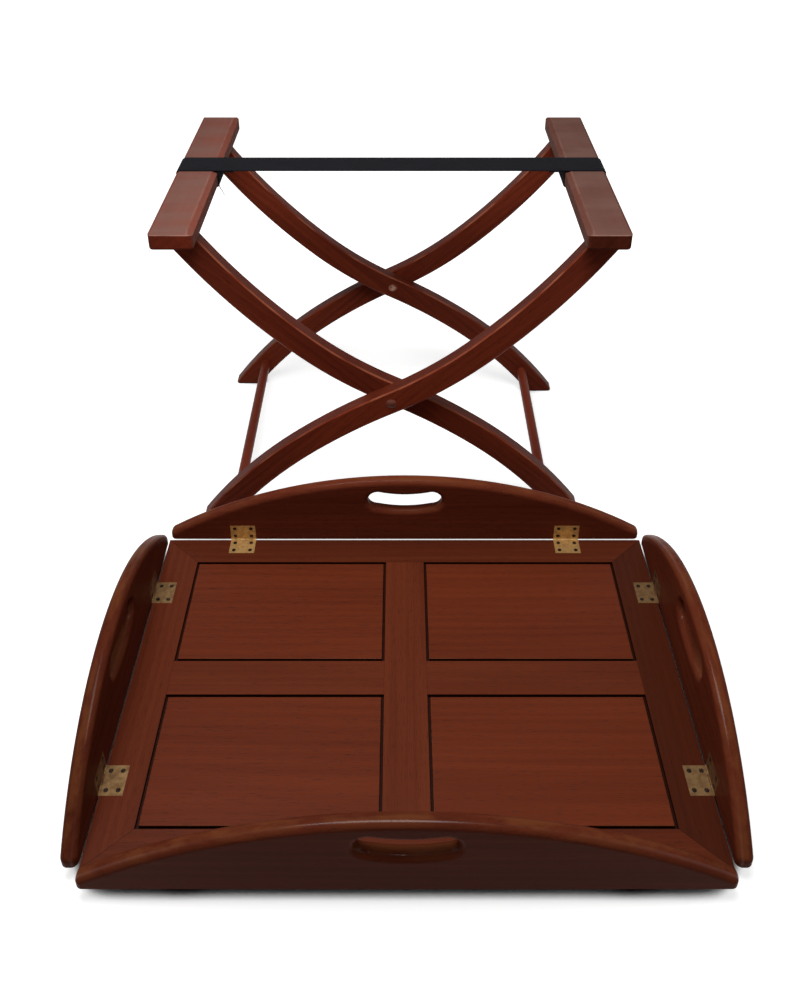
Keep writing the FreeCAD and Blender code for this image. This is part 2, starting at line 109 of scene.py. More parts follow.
def mahogany_grain():
    # growth rings round the board's heart, streaks, fibres and open pores, all running along X
    group, given = effect("mahogany_grain",
                          [("Place", "vector"), ("Dark", "colour"), ("Light", "colour"), ("Figure", "number"),
                           ("Dullness", "number")],
                          [("Color", "colour"), ("Roughness", "number"), ("Height", "number")])
    place = given["Place"]
    wander = speckle(group, place, (0.9, 4.0, 4.0), 2.0)
    broad = speckle(group, place, (1.2, 14.0, 14.0), 2.0)
    streak = speckle(group, place, (2.4, 190.0, 190.0), 5.0, 0.65)
    fibre = speckle(group, place, (14.0, 900.0, 900.0), 2.0)
    pore = fade(group, speckle(group, place, (55.0, 1500.0, 1500.0), 1.0), 0.6, 0.72)
    across = put(group, "ShaderNodeVectorMath", {0: place, 1: (0.0, 1.0, 1.0)}, operation="MULTIPLY")
    heart = put(group, "ShaderNodeVectorMath", {0: across.outputs["Vector"]}, operation="LENGTH")
    ring_width, ring_bend, ring_share = 0.012, 0.05, 0.10
    streak_share, fibre_share, broad_share = 0.8, 0.4, 1.2
    pore_dark, pore_share = (0.012, 0.004, 0.003, 1.0), 0.55
    plain_rough, light_rough, pore_rough = 0.38, -0.08, 0.18
    fibre_height, streak_height = 0.35, 0.5
    bent = reckon(group, "MULTIPLY_ADD", wander, ring_bend, heart.outputs["Value"])
    ring = reckon(group, "SINE", reckon(group, "MULTIPLY", bent, math.tau / ring_width))
    # each pattern swings about one half, so half its share is taken off again
    tone = reckon(group, "MULTIPLY_ADD", streak, streak_share, 0.5 - streak_share / 2)
    for pattern, share in ((fibre, fibre_share), (broad, broad_share)):
        tone = reckon(group, "MULTIPLY_ADD", pattern, share, reckon(group, "SUBTRACT", tone, share / 2))
    tone = reckon(group, "MULTIPLY_ADD", reckon(group, "MULTIPLY", ring, given["Figure"]), ring_share, tone)
    tone = put(group, "ShaderNodeClamp", {"Value": tone}).outputs[0]
    colour = blended(group, tone, given["Dark"], given["Light"])
    colour = blended(group, reckon(group, "MULTIPLY", pore, pore_share), colour, pore_dark)
    rough = reckon(group, "MULTIPLY_ADD", tone, light_rough, plain_rough)
    rough = reckon(group, "ADD", reckon(group, "MULTIPLY_ADD", pore, pore_rough, rough), given["Dullness"])
    height = reckon(group, "MULTIPLY_ADD", fibre, fibre_height, reckon(group, "MULTIPLY", streak, streak_height))
    height = reckon(group, "SUBTRACT", height, pore)
    put(group, "NodeGroupOutput", {"Color": colour, "Roughness": rough, "Height": height})
    return group


def rubbed_edges():
    # a board's faces by their slant to an axis across it: bevels are rubbed back to a lighter colour in patches,
    # and the narrow faces between them can be rubbed, stained darker, or polished on the axis's own side;
    # on the flaps' noses and slot walls the lighter colour is partly painted light, on the panels' arrises a
    # painted highlight
    group, given = effect("rubbed_edges",
                          [("Color", "colour"), ("Worn", "colour"), ("Place", "vector"), ("Normal", "vector"),
                           ("Axis", "vector"), ("Bevel wear and light", "number"), ("Narrow wear and light", "number"),
                           ("Narrow stain", "number"), ("Narrow polish", "number")],
                          [("Color", "colour"), ("Polish", "number")])
    dark_stain = (0.020, 0.0050, 0.0032, 1.0)
    facing = put(group, "ShaderNodeVectorMath", {0: given["Normal"], 1: given["Axis"]},
                 operation="DOT_PRODUCT").outputs["Value"]
    slant = reckon(group, "ABSOLUTE", facing)
    towards = fade(group, facing, 0.04, 0.22)
    bevel = reckon(group, "MULTIPLY", fade(group, slant, 0.3, 0.55), fade(group, slant, 0.8, 0.97, 1.0, 0.0))
    narrow = fade(group, slant, 0.25, 0.65, 1.0, 0.0)
    patch = fade(group, speckle(group, given["Place"], (14.0, 60.0, 60.0), 4.0), 0.38, 0.62)
    wear = reckon(group, "MAXIMUM", reckon(group, "MULTIPLY", bevel, given["Bevel wear and light"]),
                  reckon(group, "MULTIPLY", narrow, given["Narrow wear and light"]))
    stain = reckon(group, "MULTIPLY", narrow, given["Narrow stain"])
    colour = blended(group, stain, given["Color"], dark_stain)
    colour = blended(group, reckon(group, "MULTIPLY", wear, patch), colour, given["Worn"])
    polish = reckon(group, "MULTIPLY", reckon(group, "MULTIPLY", narrow, towards), given["Narrow polish"])
    put(group, "NodeGroupOutput", {"Color": colour, "Polish": polish})
    return group


grain_effect = mahogany_grain()
edge_effect = rubbed_edges()
# the lighter colour of rubbed edges: wear, and painted light on the panels' arrises and the flaps' noses
worn_and_lit_brown = (0.21, 0.066, 0.022, 1.0)


def blank_material(name):
    # a new material and its empty tree
    made = bpy.data.materials.new(name)
    made.use_nodes = True
    made.node_tree.nodes.clear()
    return made, made.node_tree


def stained_wood(name, turn, shift, dark, light, figure=0.6, sheen=0.07, dullness=0.0,
                 edge_axis=(0.0, 1.0, 0.0), worn=worn_and_lit_brown, bevel_wear_and_light=0.0, narrow_wear_and_light=0.0,
                 narrow_stain=0.0, narrow_polish=0.0):
    # satin mahogany with its grain turned along the piece; shift picks another part of the log
    made, tree = blank_material(name)
    coords = put(tree, "ShaderNodeTexCoord").outputs
    place = put(tree, "ShaderNodeMapping",
                {"Vector": coords["Object"], "Location": shift, "Rotation": turn}).outputs["Vector"]
    grain = put(tree, "ShaderNodeGroup",
                {"Place": place, "Dark": dark, "Light": light, "Figure": figure, "Dullness": dullness},
                node_tree=grain_effect).outputs
    edges = put(tree, "ShaderNodeGroup",
                {"Color": grain["Color"], "Worn": worn, "Place": place, "Normal": coords["Normal"],
                 "Axis": edge_axis, "Bevel wear and light": bevel_wear_and_light, "Narrow wear and light": narrow_wear_and_light,
                 "Narrow stain": narrow_stain, "Narrow polish": narrow_polish}, node_tree=edge_effect).outputs
    bump = put(tree, "ShaderNodeBump", {"Height": grain["Height"], "Strength": 0.25, "Distance": 0.0005})
    shader = put(tree, "ShaderNodeBsdfPrincipled",
                 {"Base Color": edges["Color"], "Roughness": grain["Roughness"], "Normal": bump.outputs["Normal"],
                  "Specular IOR Level": sheen, "Coat Weight": edges["Polish"], "Coat Roughness": 0.17})
    put(tree, "ShaderNodeOutputMaterial", {"Surface": shader.outputs["BSDF"]})
    return made


def dress(node, material):
    # a CAD solid keeps its shape and gets a finish
    solids[node].data.materials.clear()
    solids[node].data.materials.append(material)


leg_dark = (0.080, 0.0122, 0.0066, 1.0)
leg_light = (0.300, 0.0500, 0.0205, 1.0)
leg_worn = (0.36, 0.112, 0.058, 1.0)
board_slope = math.radians(43.0)
for leg, slope, along in (("outer_front_leg", board_slope, 0.31), ("outer_rear_leg", board_slope, 0.87),
                          ("inner_front_leg", -board_slope, 1.43), ("inner_rear_leg", -board_slope, 2.05)):
    dress(leg, stained_wood(leg + "_wood", (0.0, slope, 0.0), (along, 0.11, 0.16 + along), leg_dark, leg_light,
                            sheen=0.035, dullness=0.08, worn=leg_worn, bevel_wear_and_light=0.72, narrow_stain=0.5))

# Stretchers
# Two turned mahogany dowels glued into blind holes near the feet, one to each pair of legs.
# They are turned from straight stock, so the grain runs along them.
along_y = (0.0, 0.0, -math.pi / 2)
for side, along in (("left", 0.21), ("right", 0.77)):
    dress(side + "_stretcher", stained_wood(side + "_stretcher_wood", along_y, (along, 0.4, 0.3),
                                            leg_dark, leg_light, figure=0.3, sheen=0.05))

# Rails of the stand
# A flat mahogany bar across the top of each frame, its upper edges bevelled, mortised over the legs' tenons.
# The tray's weight and many hands have worn its edges pale, and a greyer painted sheen lies on its top and long
# sides.
rail_stains = {"left": ((0.112, 0.0180, 0.0095, 1.0), (0.275, 0.0430, 0.0205, 1.0)),
               "right": ((0.062, 0.0125, 0.0070, 1.0), (0.150, 0.0300, 0.0150, 1.0))}
# the colour of the painted sheen on the rails' tops and long sides
rail_painted_sheen = (0.174, 0.093, 0.075, 1.0)


def painted_top_sheen():
    # painted sheen: a greyer colour on the faces that look up, less of it on the long sides, thinner in places
    group, given = effect("painted_top_sheen",
                          [("Color", "colour"), ("Painted sheen", "colour"), ("Place", "vector"), ("Normal", "vector"),
                           ("Amount", "number")],
                          [("Color", "colour")])
    parts = put(group, "ShaderNodeSeparateXYZ", {"Vector": given["Normal"]}).outputs
    top = fade(group, parts["Z"], 0.80, 0.99)
    side = fade(group, reckon(group, "ABSOLUTE", parts["X"]), 0.5, 0.9, 0.0, 0.6)
    patchy_sheen = fade(group, speckle(group, given["Place"], (9.0, 24.0, 24.0), 3.0), 0.25, 0.75, 0.62, 1.0)
    share = reckon(group, "MULTIPLY", reckon(group, "MAXIMUM", top, side), patchy_sheen)
    share = reckon(group, "MULTIPLY", share, given["Amount"])
    put(group, "NodeGroupOutput", {"Color": blended(group, share, given["Color"], given["Painted sheen"])})
    return group


rail_edge_worn = (0.330, 0.165, 0.122, 1.0)
rail_bevel = 0.0085
worn_line_width = 0.0022


def worn_edges():
    # pale lines where the finish has gone: along the top's two ends, and fainter where the inner bevel starts
    group, given = effect("worn_edges",
                          [("Color", "colour"), ("Worn", "colour"), ("Place", "vector"), ("Normal", "vector"),
                           ("Front", "number"), ("Back", "number"), ("Bevel edge", "number"),
                           ("Width", "number")],
                          [("Color", "colour")])
    place = put(group, "ShaderNodeSeparateXYZ", {"Vector": given["Place"]}).outputs
    upward = put(group, "ShaderNodeSeparateXYZ", {"Vector": given["Normal"]}).outputs["Z"]
    end_share, bevel_share = 0.85, 0.28
    lines = []
    for spot, edge, most in ((place["Y"], "Front", end_share), (place["Y"], "Back", end_share),
                             (place["X"], "Bevel edge", bevel_share)):
        away = reckon(group, "ABSOLUTE", reckon(group, "SUBTRACT", spot, given[edge]))
        lines.append(fade(group, reckon(group, "DIVIDE", away, given["Width"]), 0.4, 1.0, most, 0.0))
    share = reckon(group, "MAXIMUM", reckon(group, "MAXIMUM", lines[0], lines[1]), lines[2])
    broken = fade(group, speckle(group, given["Place"], (45.0, 30.0, 45.0), 3.0), 0.36, 0.60, 0.25, 1.0)
    share = reckon(group, "MULTIPLY", reckon(group, "MULTIPLY", share, broken), fade(group, upward, 0.5, 0.8))
    put(group, "NodeGroupOutput", {"Color": blended(group, share, given["Color"], given["Worn"])})
    return group


painted_sheen_effect = painted_top_sheen()
edge_line_effect = worn_edges()


def overlaid(material, group, values):
    # a wood made above with an effect laid over its colour; it gets the colour so far, the place and the normal
    tree = material.node_tree
    shader = next(n for n in tree.nodes if n.type == "BSDF_PRINCIPLED")
    coords = next(n for n in tree.nodes if n.type == "TEX_COORD").outputs
    layer = put(tree, "ShaderNodeGroup", values, node_tree=group)
    tree.links.new(shader.inputs["Base Color"].links[0].from_socket, layer.inputs["Color"])
    tree.links.new(coords["Object"], layer.inputs["Place"])
    if "Normal" in layer.inputs:
        tree.links.new(coords["Normal"], layer.inputs["Normal"])
    tree.links.new(layer.outputs["Color"], shader.inputs["Base Color"])
    return material


# each rail's share of the painted sheen
for side, along, sheen_share in (("left", 0.35, 0.90), ("right", 1.15, 0.92)):
    rail_low, rail_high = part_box(side + "_rail")
    bevel_edge = rail_high.x - rail_bevel if side == "left" else rail_low.x + rail_bevel
    rail_wood = stained_wood(side + "_rail_wood", along_y, (along, 0.21 + along, 0.34), *rail_stains[side],
                             sheen=0.012, dullness=0.25, edge_axis=(0.0, 0.0, 1.0), bevel_wear_and_light=0.12)
    rail_wood = overlaid(rail_wood, painted_sheen_effect, {"Painted sheen": rail_painted_sheen, "Amount": sheen_share})
    rail_wood = overlaid(rail_wood, edge_line_effect,
                         {"Worn": rail_edge_worn, "Front": rail_low.y, "Back": rail_high.y,
                          "Bevel edge": bevel_edge, "Width": worn_line_width})
    dress(side + "_rail", rail_wood)


# Pivots of the stand
# A steel bolt goes through each pair of legs, with a thin washer between them and a round nut sunk in
# the inner leg. Domed mahogany plugs are glued over the heads of the bolts.
def tarnish():
    # cloudy stains and fine scratches in metal
    group, given = effect("tarnish",
                          [("Place", "vector"), ("Clean", "colour"), ("Stained", "colour"), ("Polish", "number")],
                          [("Color", "colour"), ("Roughness", "number"), ("Height", "number")])
    cloud = speckle(group, given["Place"], (120.0, 120.0, 120.0), 5.0, 0.6)
    spot = fade(group, speckle(group, given["Place"], (700.0, 700.0, 700.0), 3.0), 0.55, 0.72)
    scratch = speckle(group, given["Place"], (900.0, 5000.0, 900.0), 2.0)
    share = reckon(group, "MULTIPLY_ADD", spot, 0.35, fade(group, cloud, 0.36, 0.68))
    share = put(group, "ShaderNodeClamp", {"Value": share}).outputs[0]
    colour = blended(group, share, given["Clean"], given["Stained"])
    rough = reckon(group, "MULTIPLY_ADD", share, 0.16, given["Polish"])
    rough = reckon(group, "MULTIPLY_ADD", scratch, 0.12, rough)
    put(group, "NodeGroupOutput", {"Color": colour, "Roughness": rough,
                                   "Height": reckon(group, "MULTIPLY_ADD", spot, -0.8, scratch)})
    return group


tarnish_effect = tarnish()


def aged_metal(name, clean, stained, polish):
    # bare metal that has dulled from its clean colour to its stained one
    made, tree = blank_material(name)
    place = put(tree, "ShaderNodeTexCoord").outputs["Object"]
    stains = put(tree, "ShaderNodeGroup", {"Place": place, "Clean": clean, "Stained": stained, "Polish": polish},
                 node_tree=tarnish_effect).outputs
    bump = put(tree, "ShaderNodeBump", {"Height": stains["Height"], "Strength": 0.12, "Distance": 0.0002})
    shader = put(tree, "ShaderNodeBsdfPrincipled",
                 {"Base Color": stains["Color"], "Roughness": stains["Roughness"],
                  "Normal": bump.outputs["Normal"], "Metallic": 1.0})
    put(tree, "ShaderNodeOutputMaterial", {"Surface": shader.outputs["BSDF"]})
    return made


bolt_steel = aged_metal("bolt_steel", (0.44, 0.26, 0.20, 1.0), (0.16, 0.080, 0.058, 1.0), 0.36)
nut_bronze = aged_metal("nut_bronze", (0.40, 0.175, 0.115, 1.0), (0.15, 0.055, 0.034, 1.0), 0.42)
plug_dark = (0.120, 0.0320, 0.0190, 1.0)
plug_light = (0.260, 0.0750, 0.0450, 1.0)
for end in ("front", "rear"):
    dress(end + "_pivot_bolt", bolt_steel)
    dress(end + "_pivot_cap", stained_wood(end + "_plug_wood", (0.3, 0.9, 0.0), (0.5, 0.2, 0.1),
                                           plug_dark, plug_light, sheen=0.20))
dress("pivot_washers", bolt_steel)
dress("pivot_nuts", nut_bronze)

# Strap of the stand
# One length of black cotton webbing that goes closely round each rail, over the top, down outside and back
# up inside, where it is sewn to itself. Drawn tight, it stops the frames from spreading.
strap_thickness = 0.0018
strap_overlap = 0.024
layer_gap = 0.0019
rail_bend = 0.0030
under_bend = 0.0050
seam_bend = 0.0015
right_low, right_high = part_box("right_rail")
left_low, left_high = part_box("left_rail")
span_low, span_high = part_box("strap_span")
stand_middle = (left_low.x + right_high.x) / 2
strap_middle = (span_low.y + span_high.y) / 2
strap_width = span_high.y - span_low.y
lay = (span_high.z - span_low.z) / 2
strap_top = right_high.z + lay
seam_x = right_low.x - lay
outer_bevel = 0.0035


def rounded_route(corners):
    # a line through corners of (x, z, radius), each turned by an arc, divided into short steps
    step = 0.007
    bend_steps = 6
    line = [corners[0][:2]]
    for before, here, after in zip(corners, corners[1:], corners[2:]):
        legs = []
        for other in (before, after):
            run = math.hypot(other[0] - here[0], other[1] - here[1])
            legs.append(((other[0] - here[0]) / run, (other[1] - here[1]) / run))
        opening = math.acos(max(-1.0, min(1.0, legs[0][0] * legs[1][0] + legs[0][1] * legs[1][1])))
        setback = here[2] / math.tan(opening / 2)
        start, end = [(here[0] + leg[0] * setback, here[1] + leg[1] * setback) for leg in legs]
        for count in range(bend_steps + 1):
            share = count / bend_steps
            keep = (1 - share) ** 2, 2 * share * (1 - share), share ** 2
            line.append(tuple(keep[0] * a + keep[1] * b + keep[2] * c for a, b, c in zip(start, here, end)))
    line.append(corners[-1][:2])
    divided = [line[0]]
    for a, b in zip(line, line[1:]):
        parts = max(1, math.ceil(math.dist(a, b) / step))
        divided += [(a[0] + (b[0] - a[0]) * n / parts, a[1] + (b[1] - a[1]) * n / parts)
                    for n in range(1, parts + 1)]
    return divided


outer_x = right_high.x + lay
right_route = rounded_route([
    (stand_middle, strap_top, 0.0),
    (right_high.x - outer_bevel, strap_top, rail_bend),
    (outer_x, right_high.z - outer_bevel / 2, rail_bend),
    (outer_x, right_low.z - lay, under_bend),
    (seam_x, right_low.z - lay, under_bend),
    (seam_x, strap_top - layer_gap, seam_bend),
    (seam_x - strap_overlap, strap_top - layer_gap, 0.0),
])
left_route = [(2 * stand_middle - x, z) for x, z in right_route]
strap_line = left_route[:0:-1] + right_route

# the band's edge is a rounded selvedge: place across from -1 to 1, and share of the thickness
selvedge = [(-1.0, 0.0), (-0.988, 0.7), (-0.955, 1.0), (-0.5, 1.0), (0.0, 1.0), (0.5, 1.0), (0.955, 1.0),
            (0.988, 0.7), (1.0, 0.0), (0.988, -0.7), (0.955, -1.0), (0.5, -1.0), (0.0, -1.0), (-0.5, -1.0),
            (-0.955, -1.0), (-0.988, -0.7)]
strap_points = []
strap_run = []
run = 0.0
for count, (x, z) in enumerate(strap_line):
    before = strap_line[max(count - 1, 0)]
    after = strap_line[min(count + 1, len(strap_line) - 1)]
    length = math.dist(before, after)
    normal = (-(after[1] - before[1]) / length, (after[0] - before[0]) / length)
    run += math.dist(before, (x, z))
    strap_run.append(run)
    for across, thick in selvedge:
        lift = thick * strap_thickness / 2
        strap_points.append((x + normal[0] * lift, strap_middle + across * strap_width / 2,
                             z + normal[1] * lift))
ring_size = len(selvedge)
strap_faces = []
for ring in range(len(strap_line) - 1):
    for spot in range(ring_size):
        ahead = (spot + 1) % ring_size
        strap_faces.append((ring * ring_size + spot, ring * ring_size + ahead,
                            (ring + 1) * ring_size + ahead, (ring + 1) * ring_size + spot))
last_ring = (len(strap_line) - 1) * ring_size
strap_faces.append(tuple(range(ring_size))[::-1])
strap_faces.append(tuple(range(last_ring, last_ring + ring_size)))


def mesh_piece(name, points, faces, smooth=True):
    # a new mesh object in the scene, from points and faces given outwards
    shape = bpy.data.meshes.new(name)
    shape.from_pydata(points, [], faces)
    shape.update()
    if smooth:
        shape.shade_smooth()
    piece = bpy.data.objects.new(name, shape)
    bpy.context.scene.collection.objects.link(piece)
    return piece


strap = mesh_piece("strap", strap_points, strap_faces)
strap_map = strap.data.uv_layers.new(name="webbing")
for corner in strap.data.loops:
    ring, spot = divmod(corner.vertex_index, ring_size)
    strap_map.data[corner.index].uv = (strap_run[ring], selvedge[spot][0] * strap_width / 2)


def webbing():
    # plain weave: ribs of warp along the strap, crossed by weft, with the yarns' own fuzz
    group, given = effect("webbing_weave", [("Place", "vector"), ("Yarn", "number")],
                          [("Height", "number"), ("Tone", "number")])
    parts = put(group, "ShaderNodeSeparateXYZ", {"Vector": given["Place"]}).outputs
    beat = reckon(group, "DIVIDE", math.pi, given["Yarn"])
    along = reckon(group, "SINE", reckon(group, "MULTIPLY", parts["X"], beat))
    across = reckon(group, "SINE", reckon(group, "MULTIPLY", parts["Y"], beat))
    over = fade(group, reckon(group, "MULTIPLY", along, across), -0.12, 0.12)
    warp = reckon(group, "ABSOLUTE", across)
    weft = reckon(group, "ABSOLUTE", along)
    under = reckon(group, "MULTIPLY", weft, reckon(group, "SUBTRACT", 1.0, over))
    weave = reckon(group, "MULTIPLY_ADD", warp, over, reckon(group, "MULTIPLY", under, 0.8))
    fuzz = speckle(group, given["Place"], (2600.0, 2600.0, 2600.0), 3.0)
    dusty = speckle(group, given["Place"], (22.0, 45.0, 1.0), 3.0)
    tone = reckon(group, "MULTIPLY_ADD", weave, 0.45, reckon(group, "MULTIPLY", fuzz, 0.35))
    tone = reckon(group, "MULTIPLY_ADD", dusty, 0.4, tone)
    tone = put(group, "ShaderNodeClamp", {"Value": tone}).outputs[0]
    put(group, "NodeGroupOutput", {"Height": reckon(group, "MULTIPLY_ADD", fuzz, 0.3, weave), "Tone": tone})
    return group


yarn_width = 0.0011
webbing_dark = (0.0038, 0.0038, 0.0050, 1.0)
webbing_light = (0.0145, 0.0145, 0.0182, 1.0)
strap_cloth, cloth_tree = blank_material("black_webbing")
cloth_place = put(cloth_tree, "ShaderNodeUVMap", uv_map="webbing").outputs["UV"]
weave = put(cloth_tree, "ShaderNodeGroup", {"Place": cloth_place, "Yarn": yarn_width}, node_tree=webbing()).outputs
cloth_colour = blended(cloth_tree, weave["Tone"], webbing_dark, webbing_light)
cloth_bump = put(cloth_tree, "ShaderNodeBump", {"Height": weave["Height"], "Strength": 0.6, "Distance": 0.0004})
cloth_shader = put(cloth_tree, "ShaderNodeBsdfPrincipled",
                   {"Base Color": cloth_colour, "Roughness": 0.9, "Specular IOR Level": 0.04,
                    "Sheen Weight": 0.02, "Sheen Roughness": 0.5, "Normal": cloth_bump.outputs["Normal"]})
put(cloth_tree, "ShaderNodeOutputMaterial", {"Surface": cloth_shader.outputs["BSDF"]})
strap.data.materials.append(strap_cloth)

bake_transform(strap)
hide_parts("right_strap_loop", "strap_span", "left_strap_loop")

# Seams of the strap
# A boxed and crossed seam in black thread holds each doubled end of the webbing and lies on top of the weave.
# One thread was never trimmed, and hangs at the left rail.
stitch_sizes = {"Pitch": 0.0032, "Stitch length": 0.0024, "Thread width": 0.0007}
seam_inset = 0.004
stitch_level = strap_top + strap_thickness / 2


def stitching(material):
    # stitches laid along the lines of a seam: a small thread bead on every point, turned along the line
    tree = bpy.data.node_groups.new("stitching", "GeometryNodeTree")
    tree.interface.new_socket(name="Seam", in_out="INPUT", socket_type="NodeSocketGeometry")
    for name in stitch_sizes:
        tree.interface.new_socket(name=name, in_out="INPUT", socket_type="NodeSocketFloat")
    tree.interface.new_socket(name="Stitches", in_out="OUTPUT", socket_type="NodeSocketGeometry")
    given = put(tree, "NodeGroupInput").outputs
    lines = put(tree, "GeometryNodeMeshToCurve", {"Mesh": given["Seam"]}).outputs["Curve"]
    spaced = put(tree, "GeometryNodeResampleCurve", {"Curve": lines, "Length": given["Pitch"]}, mode="LENGTH")
    bead = put(tree, "GeometryNodeMeshUVSphere", {"Segments": 8, "Rings": 5, "Radius": 0.5}).outputs["Mesh"]
    tangent = put(tree, "GeometryNodeInputTangent").outputs["Tangent"]
    turned = put(tree, "FunctionNodeAlignRotationToVector", {"Vector": tangent}, axis="X").outputs["Rotation"]
    size = put(tree, "ShaderNodeCombineXYZ", {"X": given["Stitch length"], "Y": given["Thread width"],
                                              "Z": given["Thread width"]}).outputs["Vector"]
    laid = put(tree, "GeometryNodeInstanceOnPoints",
               {"Points": spaced.outputs["Curve"], "Instance": bead, "Rotation": turned, "Scale": size})
    solid = put(tree, "GeometryNodeRealizeInstances", {"Geometry": laid.outputs["Instances"]})
    smooth = put(tree, "GeometryNodeSetShadeSmooth", {"Geometry": solid.outputs["Geometry"]})
    painted = put(tree, "GeometryNodeSetMaterial",
                  {"Geometry": smooth.outputs["Geometry"], "Material": material})
    put(tree, "NodeGroupOutput", {"Stitches": painted.outputs["Geometry"]})
    return tree


def sewn(name, lines, tree):
    # the seam's lines as a mesh of edges, run through the stitching tree and kept as a plain mesh
    points = [point for line in lines for point in line]
    edges = [(2 * n, 2 * n + 1) for n in range(len(lines))]
    draft = bpy.data.meshes.new(name + "_lines")
    draft.from_pydata(points, edges, [])
    holder = bpy.data.objects.new(name + "_lines", draft)
    bpy.context.scene.collection.objects.link(holder)
    sewing = holder.modifiers.new("stitching", "NODES")
    sewing.node_group = tree
    for socket in tree.interface.items_tree:
        if socket.in_out == "INPUT" and socket.name in stitch_sizes:
            sewing[socket.identifier] = stitch_sizes[socket.name]
    graph = bpy.context.evaluated_depsgraph_get()
    shape = bpy.data.meshes.new_from_object(holder.evaluated_get(graph))
    shape.name = name
    bpy.data.objects.remove(holder)
    piece = bpy.data.objects.new(name, shape)
    bpy.context.scene.collection.objects.link(piece)
    return piece


thread_dark = (0.004, 0.004, 0.005, 1.0)
thread_light = (0.013, 0.013, 0.016, 1.0)
seam_thread, thread_tree = blank_material("black_thread")
thread_place = put(thread_tree, "ShaderNodeTexCoord").outputs["Object"]
twist = speckle(thread_tree, thread_place, (1800.0, 1800.0, 1800.0), 2.0)
thread_colour = blended(thread_tree, twist, thread_dark, thread_light)
thread_bump = put(thread_tree, "ShaderNodeBump", {"Height": twist, "Strength": 0.3, "Distance": 0.0002})
thread_shader = put(thread_tree, "ShaderNodeBsdfPrincipled",
                    {"Base Color": thread_colour, "Roughness": 0.7, "Specular IOR Level": 0.08,
                     "Normal": thread_bump.outputs["Normal"]})
put(thread_tree, "ShaderNodeOutputMaterial", {"Surface": thread_shader.outputs["BSDF"]})
stitch_tree = stitching(seam_thread)


def seam_lines(outer, inner):
    # the box and its diagonals, between the seam's outer and inner ends
    front = strap_middle - strap_width / 2 + seam_inset
    back = strap_middle + strap_width / 2 - seam_inset
    spots = [(outer, front, stitch_level), (outer, back, stitch_level),
             (inner, back, stitch_level), (inner, front, stitch_level)]
    order = ((0, 1), (1, 2), (2, 3), (3, 0), (0, 2), (1, 3))
    return [(spots[a], spots[b]) for a, b in order]


seam_outer = seam_x - seam_inset
seam_inner = seam_x - strap_overlap + seam_inset
for side, flip in (("right", False), ("left", True)):
    ends = [2 * stand_middle - x if flip else x for x in (seam_outer, seam_inner)]
    stitches = sewn(side + "_strap_stitches", seam_lines(*ends), stitch_tree)
    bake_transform(stitches)

# the loose thread: a thin tapering tube that hangs from the strap's front edge, low on the left rail's inner face
thread_radius = 0.0007
thread_sides = 6
thread_taper = 0.1
thread_slant = 0.5
thread_rise = 0.0035
thread_root = (left_high.x + lay, span_low.y + thread_radius, left_low.z + thread_rise)
thread_bends = [(0.0, 0.0, 0.0), (0.0010, -0.0010, -0.0030), (0.0024, -0.0014, -0.0066),
                (0.0046, -0.0012, -0.0102), (0.0058, -0.0018, -0.0140), (0.0078, -0.0020, -0.0172)]
thread_points = []
thread_faces = []
for count, bend in enumerate(thread_bends):
    slim = thread_radius * (1.0 - thread_taper * count)
    for spot in range(thread_sides):
        angle = math.tau * spot / thread_sides
        thread_points.append((thread_root[0] + bend[0] + slim * math.cos(angle),
                              thread_root[1] + bend[1] + slim * math.sin(angle),
                              thread_root[2] + bend[2] + slim * thread_slant * math.cos(angle)))
for count in range(len(thread_bends) - 1):
    for spot in range(thread_sides):
        ahead = (spot + 1) % thread_sides
        thread_faces.append((count * thread_sides + spot, (count + 1) * thread_sides + spot,
                             (count + 1) * thread_sides + ahead, count * thread_sides + ahead))
thread_last = (len(thread_bends) - 1) * thread_sides
thread_faces.append(tuple(range(thread_sides)))
thread_faces.append(tuple(range(thread_last, thread_last + thread_sides))[::-1])
loose_thread = mesh_piece("left_loose_thread", thread_points, thread_faces)
loose_thread.data.materials.append(seam_thread)
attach(loose_thread, "stand_inner")


# Frame of the tray's deck
# Four mahogany rails mitred at the corners, a centre muntin from front to back and two cross muntins between.
# The glued joints show as fine, faint lines where the stain has gathered.
def stain_line():
    # a fine dark line where a piece meets its neighbours, at two planes given by their normals and offsets
    group, given = effect("stain_line",
                          [("Color", "colour"), ("Place", "vector"), ("First normal", "vector"),
                           ("First offset", "number"), ("Second normal", "vector"), ("Second offset", "number"),
                           ("Width", "number")],
                          [("Color", "colour")])
    line_dark, line_share = (0.010, 0.0035, 0.0025, 1.0), 0.35
    lines = []
    for which in ("First", "Second"):
        dot = put(group, "ShaderNodeVectorMath", {0: given["Place"], 1: given[which + " normal"]},
                  operation="DOT_PRODUCT").outputs["Value"]
        away = reckon(group, "ABSOLUTE", reckon(group, "SUBTRACT", dot, given[which + " offset"]))
        near = reckon(group, "DIVIDE", away, given["Width"])
        lines.append(fade(group, near, 0.35, 1.0, 1.0, 0.0))
    share = reckon(group, "MULTIPLY", reckon(group, "MAXIMUM", *lines), line_share)
    put(group, "NodeGroupOutput", {"Color": blended(group, share, given["Color"], line_dark)})
    return group


line_effect = stain_line()
joint_line_width = 0.0009


def jointed(material, planes):
    # draws the two joint lines on a wood made above; a plane is a point on it and its normal
    values = {"Width": joint_line_width}
    for which, (point, normal) in zip(("First", "Second"), planes):
        size = math.hypot(*normal)
        values[which + " normal"] = [part / size for part in normal]
        values[which + " offset"] = sum(a * b for a, b in zip(point, normal)) / size
    return overlaid(material, line_effect, values)


